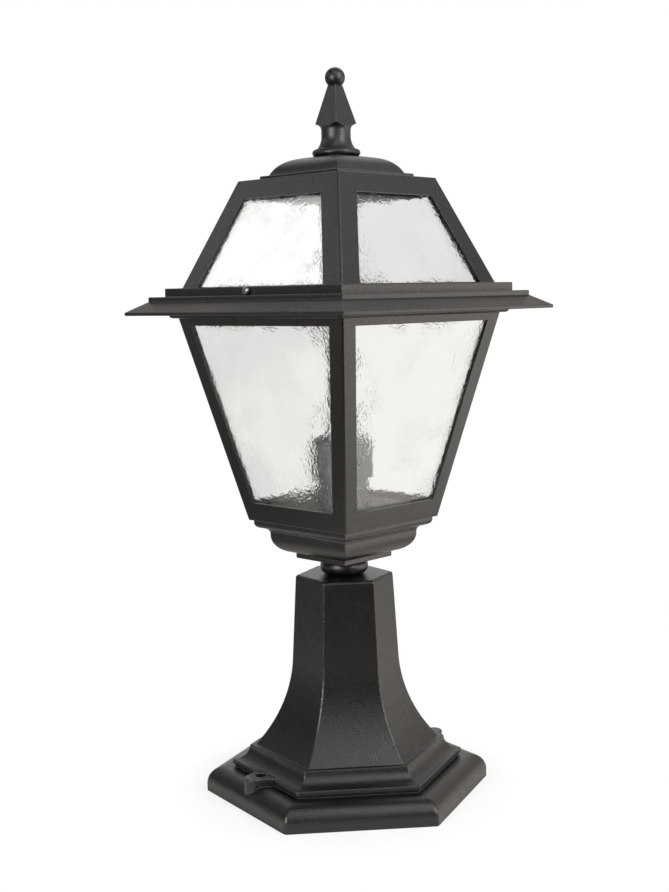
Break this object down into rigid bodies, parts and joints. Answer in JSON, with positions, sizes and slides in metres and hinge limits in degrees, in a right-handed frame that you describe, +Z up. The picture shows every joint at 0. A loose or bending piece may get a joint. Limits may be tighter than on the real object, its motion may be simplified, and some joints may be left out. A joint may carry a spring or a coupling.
{
  "type": "garden post light",
  "caption": "Low pedestal lantern: a tapered square glass lantern with a glazed hipped roof and spire finial on a flared hexagonal foot with screw lugs, for lighting a garden path.",
  "frame": {"origin": "middle of the foot, on the ground", "axes": "+Z up along the light's axis; +X and -Y square out of the lantern's right and front faces"},
  "size_m": [0.2088, 0.2088, 0.5],
  "materials": {
    "black_coat": "satin black powder coat with a fine sand texture on cast aluminium",
    "lamp_floor_coat": "plain grey coat on sheet aluminium",
    "textured_glass": "clear glass with a fine hammered face",
    "steel": "bright zinc plate",
    "holder_grey": "plain grey moulding",
    "ceramic": "unglazed white ceramic",
    "brass": "plain brass",
    "terminal_plastic": "white moulding",
    "live_sheath": "brown wire sheath",
    "neutral_sheath": "blue wire sheath"
  },
  "bodies": {
    "root": {"pedestal": "black_coat", "neck_collar": "black_coat", "lantern_body": "black_coat", "roof_frame": "black_coat", "dome_cap": "black_coat", "finial": "black_coat", "lamp_floor": "lamp_floor_coat", "body_pane_right": "textured_glass", "body_pane_back": "textured_glass", "body_pane_left": "textured_glass", "body_pane_front": "textured_glass", "roof_pane_right": "textured_glass", "roof_pane_back": "textured_glass", "roof_pane_left": "textured_glass", "roof_pane_front": "textured_glass", "finial_stud": "steel", "finial_washer": "steel", "finial_nut": "steel", "body_pane_clips": "steel", "roof_pane_clips": "steel", "body_clip_screws": "steel", "roof_clip_screws": "steel", "rim_screws": "steel", "threaded_tube": "steel", "lock_nuts": "steel", "lock_washers": "steel", "wiring_bracket": "steel", "block_screws": "steel", "earth_screw": "steel", "lampholder_base": "holder_grey", "lampholder_shell": "holder_grey", "lampholder_insert": "ceramic", "screw_shell": "brass", "centre_contact": "brass", "terminal_screws": "brass", "terminal_block": "terminal_plastic", "live_wire": "live_sheath", "neutral_wire": "neutral_sheath"}
  },
  "joints": []
}
